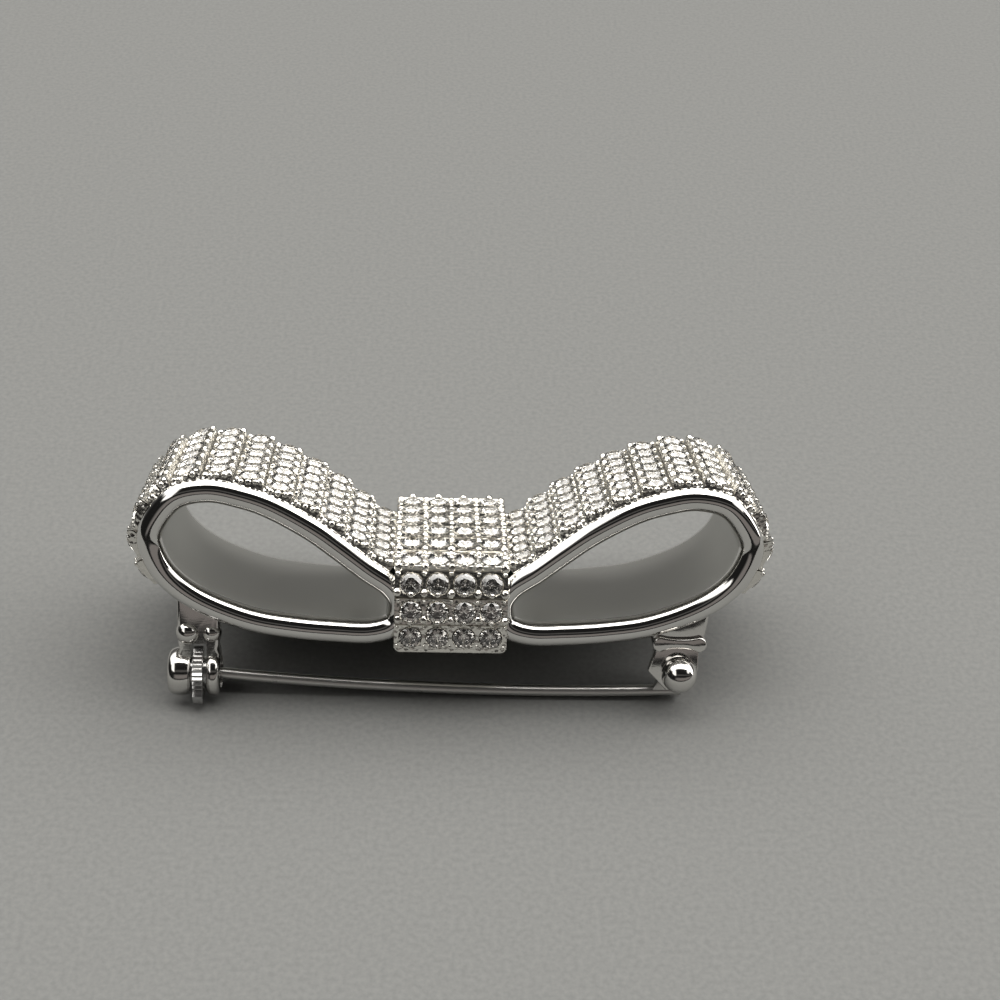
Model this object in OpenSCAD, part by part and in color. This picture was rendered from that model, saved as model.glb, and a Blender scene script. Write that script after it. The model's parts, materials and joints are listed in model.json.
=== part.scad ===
// Bow brooch, lying on its back with its catch, its hinge and the knot's back edge on the table.
// The bow is laid out in its own frame: X along the bow, Y from its front rim to its back rim,
// and Z from the loops' underside (zero) towards the set face. rest() then lays it on the table.

/* [Bow] */
// Distance from the bow's middle to the far end of each loop's metal
loop_reach = 18.7; // [16:0.1:26]
// Height of a loop's metal
loop_h = 10.2; // [8.5:0.1:13]
// Width of the ribbon from rim to rim
ribbon_w = 11.1; // [9.5:0.1:16]
// Thickness of the ribbon, which is also the width of its half-round rims
ribbon_t = 1.5; // [1.3:0.05:1.8]
// How deep each loop's near end runs into the knot
knot_grip = 1.1; // [0.5:0.1:2]

/* [Knot] */
// Width of the knot band along the bow
knot_w = 6.75; // [6:0.05:9]
// How far the knot stands proud of the ribbon's rims, front and back
knot_proud = 0.35; // [0.1:0.05:0.8]
// How far the knot's underside hangs below the loops
knot_drop = 0.25; // [0.1:0.05:0.8]
// Height of the plain edge below the knot's first row
knot_foot = 0.35; // [0.1:0.05:0.6]
// Rounding of the knot's lower corners
knot_round = 0.35; // [0.1:0.05:0.6]

/* [Stones] */
// Diameter of a stone over its flats
stone_d = 1.3; // [1:0.05:1.4]
// Clear space between neighbouring stones of a row
stone_space = 0.3; // [0.2:0.05:0.5]
// Rows of stones on each loop, counted from the knot
loop_rows = 12; // [6:1:12]
// Distance from row to row along the loops
row_pitch = 1.82; // [1.7:0.02:1.86]
// Height of a row's proud edge, on the side of the knot
row_high = 0.55; // [0.3:0.05:0.7]
// Height of a row's far edge
row_low = 0.15; // [0.05:0.05:0.25]
// Distance from the knot to its first row of stones
row_lead = 0.3; // [0.14:0.02:0.5]
// Width of the dark gap between rows
row_gap = 0.14; // [0.1:0.01:0.2]
// Depth of the seat cut under a row of stones
seat_depth = 0.72; // [0.65:0.01:0.8]
// Space round a stone's girdle in its seat
seat_gap = 0.06; // [0.04:0.01:0.1]

/* [Catch and hinge] */
// Distance of both findings from the ribbon's middle towards its front rim
findings_y = 3.6; // [2.5:0.1:4]
// Distance of the catch's neck and lever from the far end of its loop
catch_inset = 3.5; // [2.7:0.1:5.7]
// How far the barrel's middle lies beyond its lever
barrel_shift = 0.3; // [0:0.05:0.5]
// Depth of the catch barrel's axis below the loops' underside
barrel_drop = 2.5; // [2.3:0.05:3.5]
// Diameter of the catch barrel
barrel_d = 3; // [2.9:0.05:3.4]
// Length of the catch barrel
barrel_l = 3.2; // [2.8:0.1:4.5]
// Diameter of the turning sleeve inside the barrel
sleeve_d = 1.9; // [1.7:0.05:2]
// Round boss at the outer end of the catch's neck
boss_d = 1.5; // [1:0.05:1.8]
// Smaller boss beside it
roll_d = 1.2; // [0.8:0.05:1.4]
// Diameter of the lever's serrated rim
lever_d = 3.74; // [3.5:0.02:3.9]
// Distance from the barrel's axis to the outer face of the lever's thumb tab
tab_reach = 2.08; // [1.95:0.01:2.12]
// Thickness of the lever
lever_t = 0.62; // [0.5:0.02:0.8]
// Clearance on each side of the lever in its slot
lever_gap = 0.16; // [0.08:0.01:0.2]
// Distance of the hinge rivet from the far end of its loop
hinge_inset = 4.75; // [3.7:0.05:6.2]
// Depth of the rivet's axis below the loops' underside
rivet_drop = 1.58; // [1.3:0.02:2.5]
// Diameter of the rivet's shank
rivet_d = 0.8; // [0.6:0.05:1]
// Diameter of the rivet's ball head
rivet_ball_d = 2.2; // [1.6:0.05:2.4]
// Thickness of each hinge ear
ear_t = 0.6; // [0.4:0.05:1]
// Distance from the rivet's axis to the front ear's lower edge
ear_reach = 1.25; // [1.2:0.05:1.6]
// Distance from the rivet's axis to the foot of the longer back ear
foot_reach = 1.86; // [1.7:0.02:2.1]
// Running clearance of turning pieces, on the radius
run_gap = 0.05; // [0.03:0.01:0.08]
// Clearance between the sides of turning pieces
side_gap = 0.1; // [0.05:0.01:0.15]

/* [Pin stem] */
// Diameter of the pin stem
stem_d = 0.7; // [0.6:0.05:0.8]
// Thickness of the stem's knuckle on the rivet
knuckle_t = 1.1; // [0.8:0.05:1.5]
// Diameter of the stem's knuckle
knuckle_d = 2.3; // [2:0.05:2.4]
// How far the stem's end lies below the rivet's axis
stem_offset = 1.7; // [1.5:0.02:1.8]
// How far the bent stem bows away from a straight line between its ends
stem_bow = 0.56; // [0.2:0.02:0.6]
// How far the stem's point stands above the barrel's axis
tip_rise = 0.2; // [0.1:0.01:0.25]
// Space round the stem in the sleeve's mouth
mouth_gap = 0.12; // [0.08:0.01:0.2]

/* [Hidden] */
$fn = 48;
silver = "gainsboro";
clear_stone = "aliceblue";
steel = "silver";

rim_r = ribbon_t / 2;
half_w = ribbon_w / 2;
stone_pitch = stone_d + stone_space;
// Stones in a row across the ribbon and across the knot, as many as fit
ribbon_stones = floor((ribbon_w - ribbon_t + 0.01) / stone_pitch);
knot_stones_across = floor((knot_w - stone_space) / stone_pitch);
crown_h = 0.15 * stone_d;
table_share = 0.56;
pavilion_h = 0.43 * stone_d;
girdle_lift = 0.06;

// Middle line of a loop's ribbon, once round from the knot: over the top, round the end and back.
// Columns: share of the run away from the knot, share of the height.
ALONG = 0;
UP = 1;
LOOP_LINE = [
    [0.000, 0.215], [0.042, 0.340], [0.135, 0.452], [0.243, 0.595], [0.362, 0.743], [0.521, 0.893],
    [0.645, 0.965], [0.765, 1.000], [0.887, 0.955], [0.965, 0.815], [1.000, 0.650], [0.960, 0.453],
    [0.880, 0.300], [0.762, 0.178], [0.594, 0.073], [0.422, 0.025], [0.264, 0.004], [0.118, 0.000],
    [0.021, 0.062]];
line_x0 = knot_w / 2 - knot_grip + rim_r;
line_run = loop_reach - rim_r - line_x0;
line_rise = loop_h - ribbon_t;
spans = len(LOOP_LINE);
span_steps = 6;
samples = spans * span_steps;

function corner(i) = let (c = LOOP_LINE[(i + spans) % spans])
    [line_x0 + line_run * c[ALONG], rim_r + line_rise * c[UP]];
// Smooth curve through four neighbouring corners
function smooth(a, b, c, d, t) =
    0.5 * (2 * b + (c - a) * t + (2 * a - 5 * b + 4 * c - d) * t * t + (3 * b - a - 3 * c + d) * t * t * t);
function line_point(i) = let (k = floor(i / span_steps), t = i / span_steps - k)
    smooth(corner(k - 1), corner(k), corner(k + 1), corner(k + 2), t);
line = [for (i = [0 : samples - 1]) line_point(i)];
function unit(v) = v / norm(v);
function outward(i) = let (d = unit(line[(i + 1) % samples] - line[(i + samples - 1) % samples])) [-d.y, d.x];
normals = [for (i = [0 : samples - 1]) outward(i)];
// Running length of the outer face, one value more than there are samples
outer = [for (i = [0 : samples]) line[i % samples] + rim_r * normals[i % samples]];
function running(i, sum = 0, list = []) = i > samples ? list :
    let (next = i == 0 ? 0 : sum + norm(outer[i] - outer[i - 1])) running(i + 1, next, concat(list, [next]));
length_at = running(0);
outer_len = length_at[samples];
index_of = [for (i = [0 : samples]) [length_at[i], i]];

function blend(list, i) = let (k = floor(i), t = i - k)
    list[k % samples] * (1 - t) + list[(k + 1) % samples] * t;
// Point and outward normal of the middle line where the outer face has run the length s
function spot(s) = blend(line, lookup(s, index_of));
function normal(s) = unit(blend(normals, lookup(s, index_of)));

// The rows start where the outer face comes out of the knot
top_samples = [for (i = [0 : samples / 3]) [outer[i].x, length_at[i]]];
rows_start = lookup(knot_w / 2 + row_lead, top_samples);
seat_half = stone_d / 2 + seat_gap;
seat_floor = 0.22;
// Profile of one row along the surface. Columns: distance from the row's start, height.
function slope(x, high, low, pitch) = high + (low - high) * x / (pitch - row_gap);
function row_profile(pitch, high, low) = let (mid = (pitch - row_gap) / 2) [
    [0, high],
    [mid - seat_half, slope(mid - seat_half, high, low, pitch)],
    [mid - seat_floor, slope(mid - seat_floor, high, low, pitch) - seat_depth],
    [mid + seat_floor, slope(mid + seat_floor, high, low, pitch) - seat_depth],
    [mid + seat_half, slope(mid + seat_half, high, low, pitch)],
    [pitch - row_gap, low],
    [pitch - row_gap / 2, 0]];
// Stations round a loop. Columns: length along the outer face, height of the set field.
rows_end = rows_start + loop_rows * row_pitch;
plain_steps = 22;
stations = concat(
    [for (k = [0 : loop_rows - 1]) for (p = row_profile(row_pitch, row_high, row_low))
        [rows_start + k * row_pitch + p[0], p[1]]],
    [for (k = [0 : plain_steps - 1]) [(rows_end + k * (outer_len + rows_start - rows_end) / plain_steps), 0]]);

// Half-round rims and the field between them, as points across the ribbon. Columns: y, distance
// from the middle line.
rim_steps = 4;
field_half = half_w - rim_r - 0.05;
function across(h) = concat(
    [for (k = [0 : rim_steps]) let (a = -90 + 180 * k / rim_steps) [rim_r - half_w - rim_r * cos(a), rim_r * sin(a)]],
    [[-field_half, rim_r + h], [field_half, rim_r + h]],
    [for (k = [0 : rim_steps]) let (a = 90 - 180 * k / rim_steps) [half_w - rim_r + rim_r * cos(a), rim_r * sin(a)]]);
ring_n = len(across(0));
function ring(s, h) = let (wrapped = s > outer_len ? s - outer_len : s, m = spot(wrapped), n = normal(wrapped))
    [for (a = across(h)) [m.x + a[1] * n.x, a[0], m.y + a[1] * n.y]];
loop_points = [for (st = stations) each ring(st[0], st[1])];
station_n = len(stations);
loop_faces = [for (i = [0 : station_n - 1]) for (j = [0 : ring_n - 1])
    let (i2 = (i + 1) % station_n, j2 = (j + 1) % ring_n,
         a = i * ring_n + j, b = i * ring_n + j2, c = i2 * ring_n + j2, d = i2 * ring_n + j)
    each [[a, b, c], [a, c, d]]];

// Rows of the knot, once over it from the front edge to the back edge: the way each row's surface
// runs, in degrees above the horizontal. Over the top there are as many rows as fit.
FRONT_ROWS = [101, 90, 72];
BACK_ROWS = [-86, -90, -98];
// Columns: sixths of the way over the top, direction
TOP_DOME = [[0, 20], [1, 10], [2, 7], [3, 4], [4, 1], [5, -2], [6, -34]];
row_lip = 0.015;
row_least = stone_d + 2 * (seat_gap + row_lip) + row_gap;
top_rows = floor((ribbon_w + 2 * knot_proud) / row_least - 0.3);
KNOT_ROWS = concat(FRONT_ROWS, [for (k = [0 : top_rows - 1]) lookup(6 * k / (top_rows - 1), TOP_DOME)], BACK_ROWS);
knot_rows = len(KNOT_ROWS);
knot_high = 0.24;
knot_low = 0.1;
function knot_sum(k, p = [0, 0], i = 0) = i == k ? p : knot_sum(k, p + [cos(KNOT_ROWS[i]), sin(KNOT_ROWS[i])], i + 1);
knot_way = [for (k = [0 : knot_rows]) knot_sum(k)];
knot_way_y = [for (p = knot_way) p.x];
knot_pitch = (ribbon_w + 2 * knot_proud) / (max(knot_way_y) - min(knot_way_y));
knot_start = [-half_w - knot_proud - min(knot_way_y) * knot_pitch, knot_foot - knot_drop];
function knot_spot(k) = knot_start + knot_pitch * knot_way[k];
function knot_dir(k) = [cos(KNOT_ROWS[k]), sin(KNOT_ROWS[k])];
function turned(d) = [-d.y, d.x];
knot_back = [knot_spot(knot_rows).x, -knot_drop];
knot_section = concat(
    [for (k = [0 : knot_rows - 1]) for (p = row_profile(knot_pitch, knot_high, knot_low))
        knot_spot(k) + p[0] * knot_dir(k) + p[1] * turned(knot_dir(k))],
    [knot_spot(knot_rows), knot_back, [knot_start.x, -knot_drop]]);

catch_x = loop_reach - catch_inset;
hinge_x = loop_reach - hinge_inset;
// Height of a loop's lower middle line at the distance x from the bow's middle
lower_run = [for (i = [samples - 1 : -1 : samples / 2]) if (line[i].x > line_x0 + 1) [line[i].x, line[i].y]];
function under(x) = lookup(x, lower_run);

barrel_r = barrel_d / 2;
sleeve_r = sleeve_d / 2;
lever_r = lever_d / 2;
lever_slot = lever_t + 2 * lever_gap;
slot_r = tab_reach + side_gap;
mouth_w = stem_d + 2 * mouth_gap;
neck_w = 2.5;
neck_depth = 1.5;
edge_round = 0.5;
roll_centre = [0, -0.4, 2.7];
roll_l = 2.8;
// Directions round the barrel's axis, in degrees above the straight way to the viewer
rim_top = 76;
rim_foot = -22;
tab_top = -27;
tab_foot = -60;
teeth = 11;
tooth_h = 0.1;

knuckle_r = knuckle_d / 2;
rivet_r = rivet_d / 2;
ear_inner = knuckle_t / 2 + side_gap;
ear_outer = ear_inner + ear_t;
plate_w = 3.3;
plate_t = 1;
plate_waist = 0.62;
plate_z = -(rivet_drop - knuckle_r - side_gap);
// The stem is an arc from its end on the knuckle to the barrel's axis in the catch
stem_over = 0.3;
stem_end = [hinge_x + stem_over, -rivet_drop - stem_offset];
stem_tip = [-catch_x - barrel_shift - barrel_l / 2 + 0.25, -barrel_drop + tip_rise];
stem_chord = norm(stem_tip - stem_end);
stem_bend_r = stem_chord * stem_chord / 8 / stem_bow + stem_bow / 2;
stem_arc = 2 * asin(stem_chord / 2 / stem_bend_r);
stem_slant = atan2(stem_tip.y - stem_end.y, stem_end.x - stem_tip.x);
tip_l = 2.2;
tip_arc = tip_l / stem_bend_r * 180 / PI;

// Resting plane: under the catch barrel, the back ear's foot and the knot's back corner
barrel_axis = [-catch_x, -findings_y, -barrel_drop];
ear_foot = 0.7;
ear_corner = [hinge_x + ear_foot, -findings_y + ear_outer, -rivet_drop - foot_reach];
knot_corner = [knot_w / 2 - knot_round, knot_back.x, knot_back.y];
foot_line = unit(ear_corner - knot_corner);
to_barrel = barrel_axis - knot_corner;
barrel_off = to_barrel - (to_barrel * foot_line) * foot_line;
off_dir = unit(barrel_off);
third_dir = cross(off_dir, foot_line);
off_share = barrel_r / norm(barrel_off);
third_sign = third_dir.z > 0 ? 1 : -1;
table_up = off_share * off_dir + third_sign * sqrt(1 - off_share * off_share) * third_dir;
recline = atan2(table_up.y, table_up.z);
roll = -atan2(table_up.x, norm([table_up.y, table_up.z]));
table_y = [0, cos(recline), -sin(recline)];
table_x = cross(table_y, table_up);
ball_centre = [hinge_x, -findings_y - ear_outer - 0.45 * rivet_ball_d / 2, -rivet_drop];
left_points = [for (p = loop_points) [-p.x, p.y, p.z]];
y_front = min(barrel_axis * table_y - tab_reach, ball_centre * table_y - rivet_ball_d / 2,
              min([for (p = loop_points) p * table_y]));
y_back = max([for (p = loop_points) p * table_y]);
x_left = min([for (p = left_points) p * table_x]);
x_right = max([for (p = loop_points) p * table_x]);
rest_shift = [-(x_left + x_right) / 2, -(y_front + y_back) / 2, -(knot_corner * table_up)];

module rest() {
    translate(rest_shift) rotate([0, roll, 0]) rotate([recline, 0, 0]) children();
}

// Cut stone with its girdle at z = 0: an eight-sided table, sixteen crown facets, eight below
module stone(d) {
    girdle_r = d / 2 / cos(22.5);
    table_r = girdle_r * table_share;
    points = concat(
        [for (k = [0 : 7]) [table_r * cos(45 * k), table_r * sin(45 * k), crown_h]],
        [for (k = [0 : 7]) [girdle_r * cos(45 * k + 22.5), girdle_r * sin(45 * k + 22.5), 0]],
        [[0, 0, -pavilion_h]]);
    faces = concat(
        [[7, 6, 5, 4, 3, 2, 1, 0]],
        [for (k = [0 : 7]) [k, (k + 1) % 8, 8 + k]],
        [for (k = [0 : 7]) [(k + 1) % 8, 8 + (k + 1) % 8, 8 + k]],
        [for (k = [0 : 7]) [8 + k, 8 + (k + 1) % 8, 16]]);
    polyhedron(points, faces);
}

// A row of stones along Y, whose seats' surface points away from the bow at the given angle
module stone_row(count, angle) {
    for (k = [0 : count - 1]) translate([0, (k - (count - 1) / 2) * stone_pitch, 0])
        rotate([0, 90 - angle, 0]) translate([0, 0, girdle_lift]) stone(stone_d);
}

module loop_metal() {
    polyhedron(loop_points, loop_faces);
}

module loop_stones() {
    tilt = atan((row_high - row_low) / (row_pitch - row_gap));
    for (k = [0 : loop_rows - 1]) {
        s = rows_start + k * row_pitch + (row_pitch - row_gap) / 2;
        n = normal(s);
        p = spot(s) + (rim_r + (row_high + row_low) / 2) * n;
        translate([p.x, 0, p.y]) stone_row(ribbon_stones, atan2(n.y, n.x) - tilt);
    }
}

module knot_metal() {
    intersection() {
        rotate([90, 0, 90]) linear_extrude(knot_w, center = true) polygon(knot_section);
        rotate([90, 0, 0]) linear_extrude(2 * ribbon_w, center = true) hull() {
            for (e = [-1, 1]) translate([e * (knot_w / 2 - knot_round), knot_round - knot_drop])
                circle(knot_round, $fn = 24);
            translate([-knot_w / 2, knot_rows * knot_pitch]) square([knot_w, 1]);
        }
    }
}

module catch_housing() {
    translate(barrel_axis) difference() {
        union() {
            translate([-barrel_shift, 0, 0]) rotate([0, 90, 0]) rotate_extrude()
                barrel_outline(barrel_r, barrel_l, edge_round);
            translate(roll_centre) {
                translate([(boss_d - roll_l) / 2, 0, 0]) sphere(d = boss_d);
                translate([(roll_l - roll_d) / 2, 0, 0]) sphere(d = roll_d);
            }
            neck();
        }
        rotate([0, 90, 0]) cylinder(r = sleeve_r + run_gap, h = barrel_l + 2, center = true);
        rotate([0, 90, 0]) cylinder(r = slot_r, h = lever_slot, center = true);
        translate([0, 0, -barrel_r]) cube([barrel_l + 2, mouth_w, barrel_d], center = true);
    }
}

// Half outline of a roll with two rounded ends, x from the axis and y along it
module barrel_outline(r, length, bend) {
    hull() {
        translate([0, -length / 2]) square([r - bend, length]);
        for (e = [-1, 1]) translate([r - bend, e * (length / 2 - bend)]) circle(bend, $fn = 24);
    }
}

// Block that carries the barrel; its top ends inside the loop's wall
module neck() {
    left = under(catch_x + neck_w / 2) + barrel_drop;
    middle = under(catch_x) + barrel_drop;
    right = under(catch_x - neck_w / 2) + barrel_drop;
    rotate([90, 0, 0]) linear_extrude(neck_depth, center = true)
        polygon([[-neck_w / 2, 0], [neck_w / 2, 0], [neck_w / 2, right], [0, middle], [-neck_w / 2, left]]);
}

module hinge_bracket() {
    top_left = under(hinge_x - plate_w / 2);
    top_mid = under(hinge_x);
    top_right = under(hinge_x + plate_w / 2);
    pad = plate_z + plate_t;
    translate([0, -findings_y, 0]) difference() {
        union() {
            rotate([90, 0, 0]) linear_extrude(2 * ear_outer - 0.3, center = true) polygon([
                [hinge_x - plate_w / 2, pad - 0.2], [hinge_x + plate_w / 2 - 0.15, pad - 0.2],
                [hinge_x + plate_w / 2 + 0.1, top_right - rim_r], [hinge_x + plate_w / 2, top_right],
                [hinge_x, top_mid], [hinge_x - plate_w / 2, top_left]]);
            rotate([90, 0, 0]) linear_extrude(2 * ear_outer + 0.2, center = true) union() {
                for (e = [-1, 1]) translate([hinge_x + e * (plate_w - plate_t) / 2, plate_z + plate_t / 2])
                    circle(d = plate_t, $fn = 24);
                translate([hinge_x, plate_z + 0.55 * plate_t])
                    square([plate_w - plate_t, plate_waist * plate_t], center = true);
            }
            for (e = [-1, 1]) translate([hinge_x, e * (ear_inner + ear_t / 2), -rivet_drop])
                rotate([90, 0, 0]) linear_extrude(ear_t, center = true)
                    if (e < 0) ear_outline(ear_reach, ear_point);
                    else ear_outline(foot_reach, 1.08 * ear_side);
        }
        translate([hinge_x, 0, -rivet_drop]) rotate([90, 0, 0])
            cylinder(r = rivet_r + run_gap, h = 2 * ear_outer + 1, center = true);
    }
}

// Ear of the hinge, round the rivet's axis, with a pointed side above the stem
ear_side = 1.2;
ear_point = 1.85;
module ear_outline(reach, point) {
    ear_top = rivet_drop + plate_z + 0.5 * plate_t;
    polygon([[-1.08 * ear_side, ear_top], [-point, 0], [-ear_foot, -reach], [ear_foot, -reach],
        [ear_side, -0.4 * ear_reach], [ear_side, ear_top]]);
}

module bow_frame() {
    color(silver) rest() union() {
        knot_metal();
        loop_metal();
        mirror([1, 0, 0]) loop_metal();
        catch_housing();
        hinge_bracket();
    }
}

module right_loop_stones() {
    color(clear_stone) rest() loop_stones();
}

module left_loop_stones() {
    color(clear_stone) rest() mirror([1, 0, 0]) loop_stones();
}

module knot_stones() {
    tilt = atan((knot_high - knot_low) / (knot_pitch - row_gap));
    color(clear_stone) rest() rotate([0, 0, -90]) for (k = [0 : knot_rows - 1]) {
        d = knot_dir(k);
        n = turned(d);
        p = knot_spot(k) + (knot_pitch - row_gap) / 2 * d + (knot_high + knot_low) / 2 * n;
        translate([-p.x, 0, p.y]) stone_row(knot_stones_across, 180 - atan2(n.y, n.x) + tilt);
    }
}

// Turning sleeve of the catch with its serrated thumb lever; its mouth faces the stem's way out
module catch_lever() {
    color(steel) rest() translate(barrel_axis) difference() {
        union() {
            translate([-barrel_shift, 0, 0]) rotate([0, 90, 0])
                cylinder(r = sleeve_r, h = barrel_l - 2 * side_gap, center = true);
            rotate([90, 0, -90]) linear_extrude(lever_t, center = true) lever_outline();
        }
        rotate([0, 90, 0]) cylinder(d = mouth_w, h = barrel_l + 2, center = true);
        translate([0, 0, -barrel_r]) cube([barrel_l + 2, mouth_w, barrel_d], center = true);
    }
}

// Lever with a thumb tab at its foot and teeth round its rim, x towards the viewer
module lever_outline() {
    function at(r, a) = [r * cos(a), r * sin(a)];
    polygon(concat(
        [[0, 0], at(sleeve_r, tab_foot - 20), at(tab_reach - 0.3, tab_foot), at(tab_reach, tab_foot + 5)],
        [at(tab_reach, (tab_foot + tab_top) / 2), at(tab_reach, tab_top)],
        [for (k = [0 : 2 * teeth]) at(lever_r - (k % 2) * tooth_h, rim_foot + k * (rim_top - rim_foot) / 2 / teeth)]));
}

module hinge_rivet() {
    head_t = 0.4;
    color(steel) rest() translate([hinge_x, -findings_y, -rivet_drop]) rotate([90, 0, 0]) {
        translate([0, 0, -ear_outer - head_t / 2]) cylinder(r = rivet_r, h = 2 * ear_outer + head_t);
        translate([0, 0, ear_outer + 0.03]) difference() {
            translate([0, 0, 0.45 * rivet_ball_d / 2]) sphere(d = rivet_ball_d);
            translate([0, 0, -rivet_ball_d]) cube([2, 2, 2] * rivet_ball_d, center = true);
        }
        translate([0, 0, -ear_outer - 0.03 - head_t]) cylinder(r = 1.7 * rivet_r, h = head_t);
    }
}

module pin_stem() {
    color(steel) rest() translate([hinge_x, -findings_y, -rivet_drop]) difference() {
        union() {
            rotate([90, 0, 0]) cylinder(r = knuckle_r, h = knuckle_t, center = true);
            rotate([90, 0, 0]) linear_extrude(0.9 * stem_d, center = true)
                polygon([[0.7 * knuckle_r, -knuckle_r / 2], [stem_over - 0.1, -stem_offset],
                    [-1.3 * knuckle_r, -stem_offset], [-0.7 * knuckle_r, -knuckle_r / 2]]);
            translate([stem_over, 0, -stem_offset]) rotate([0, stem_slant - stem_arc / 2, 0]) bent_stem();
        }
        rotate([90, 0, 0]) cylinder(r = rivet_r + run_gap, h = knuckle_t + 1, center = true);
    }
}

// The stem from its end at the origin, setting off along -X and bending up, with its point
module bent_stem() {
    shank_arc = stem_arc - tip_arc;
    translate([0, 0, stem_bend_r]) {
        rotate([90, 0, 0]) rotate([0, 0, -90 - shank_arc]) rotate_extrude(angle = shank_arc, $fn = 900)
            translate([stem_bend_r, 0]) circle(d = stem_d, $fn = 24);
        rotate([0, shank_arc, 0]) translate([0, 0, -stem_bend_r]) rotate([0, -90, 0])
            cylinder(d1 = stem_d, d2 = 0.12, h = tip_l, $fn = 24);
    }
}

bow_frame();
left_loop_stones();
right_loop_stones();
knot_stones();
catch_lever();
hinge_rivet();
pin_stem();
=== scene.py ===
import json
import math
import random
from bisect import bisect_right

import bmesh
import bpy
from mathutils import Matrix, Vector


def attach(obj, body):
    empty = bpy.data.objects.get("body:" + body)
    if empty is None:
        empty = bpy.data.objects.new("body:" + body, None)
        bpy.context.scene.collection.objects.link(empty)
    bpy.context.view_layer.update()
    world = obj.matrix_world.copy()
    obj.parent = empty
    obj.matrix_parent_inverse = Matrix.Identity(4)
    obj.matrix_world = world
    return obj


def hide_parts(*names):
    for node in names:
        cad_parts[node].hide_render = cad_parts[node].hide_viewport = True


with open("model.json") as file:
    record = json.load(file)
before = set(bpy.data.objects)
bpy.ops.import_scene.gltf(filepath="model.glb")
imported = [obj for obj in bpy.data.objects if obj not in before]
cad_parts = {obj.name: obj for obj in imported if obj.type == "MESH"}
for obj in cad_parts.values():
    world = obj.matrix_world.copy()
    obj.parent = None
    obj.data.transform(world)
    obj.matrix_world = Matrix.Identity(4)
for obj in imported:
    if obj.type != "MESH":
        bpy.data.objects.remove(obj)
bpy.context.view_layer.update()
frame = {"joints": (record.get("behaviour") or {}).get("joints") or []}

# The two loops. Each is a band of white metal bent into a teardrop, with a half-round rim along both
# edges, polished bright. Between the rims the band is sunk where the rows of stones are set into it.
# Its field and its inner face are satin, and painted darker as shade under the bow and inside the loop.
# Sizes are millimetres in the bow's own frame: X along the bow, Y from front to back rim, Z upward.
loop_reach, loop_h, ribbon_w, ribbon_t = 18.7, 10.2, 11.1, 1.5
knot_w, knot_grip = 6.75, 1.1
hinge_x, findings_y, rivet_drop = 13.95, 3.6, 1.58
row_lead, row_pitch, loop_rows = 0.3, 1.82, 12
rim_r, half_w = ribbon_t / 2, ribbon_w / 2
rim_lap, lining_inset = 0.04, 0.25
set_floor, set_lap, set_wall, set_step = -0.5, 0.09, 0.01, 0.13
rim_steps, line_steps, plain_steps = 12, 12, 140
weld_reach, crease = 0.001, 35.0

# The bow's own frame as it lies, from the axes and the places of the two joints
joints = {j["name"]: j for j in frame["joints"]}
bow_x = -Vector(joints["lever_turn"]["axis"]).normalized()
bow_y = -Vector(joints["stem_hinge"]["axis"]).normalized()
bow_z = bow_x.cross(bow_y)
hinge_at = Vector((hinge_x, -findings_y, -rivet_drop))
lay = Matrix((bow_x, bow_y, bow_z)).transposed() * 0.001
lay_down = lay.to_4x4()
lay_down.translation = Vector(joints["stem_hinge"]["pos_m"]) - lay @ hinge_at

# The band's middle line round the loop, as shares of its run from the knot and of its rise
LOOP_LINE = [
    (0.000, 0.215), (0.042, 0.340), (0.135, 0.452), (0.243, 0.595), (0.362, 0.743), (0.521, 0.893),
    (0.645, 0.965), (0.765, 1.000), (0.887, 0.955), (0.965, 0.815), (1.000, 0.650), (0.960, 0.453),
    (0.880, 0.300), (0.762, 0.178), (0.594, 0.073), (0.422, 0.025), (0.264, 0.004), (0.118, 0.000),
    (0.021, 0.062)]
line_x0 = knot_w / 2 - knot_grip + rim_r
line_run = loop_reach - rim_r - line_x0
line_rise = loop_h - ribbon_t


def smooth_ring(corners, steps):
    """Closed smooth line through the corners, with so many steps from each to the next."""
    n, out = len(corners), []
    for i in range(n):
        a, b, c, d = (corners[(i + k) % n] for k in (-1, 0, 1, 2))
        for s in range(steps):
            t = s / steps
            out.append(0.5 * (2 * b + (c - a) * t + (2 * a - 5 * b + 4 * c - d) * t * t
                              + (3 * b - a - 3 * c + d) * t ** 3))
    return out


line = smooth_ring([Vector((line_x0 + line_run * a, rim_r + line_rise * u)) for a, u in LOOP_LINE],
                   line_steps)
steps_round = len(line)
outward = []
for i in range(steps_round):
    way = (line[(i + 1) % steps_round] - line[i - 1]).normalized()
    outward.append(Vector((-way.y, way.x)))
outer_face = [p + rim_r * n for p, n in zip(line, outward)]
run = [0.0]
for i in range(1, steps_round + 1):
    run.append(run[-1] + (outer_face[i % steps_round] - outer_face[i - 1]).length)
outer_len = run[-1]


def along_loop(s):
    """Middle line's point and outward way where the outer face has run the length s."""
    s %= outer_len
    i = min(bisect_right(run, s) - 1, steps_round - 1)
    t = (s - run[i]) / (run[i + 1] - run[i])
    j = (i + 1) % steps_round
    return line[i].lerp(line[j], t), outward[i].lerp(outward[j], t).normalized()


rows_from_x = knot_w / 2 + row_lead
past = next(i for i in range(1, steps_round) if outer_face[i].x >= rows_from_x)
share = (rows_from_x - outer_face[past - 1].x) / (outer_face[past].x - outer_face[past - 1].x)
rows_start = run[past - 1] + share * (run[past] - run[past - 1])
rows_end = rows_start + loop_rows * row_pitch


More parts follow.
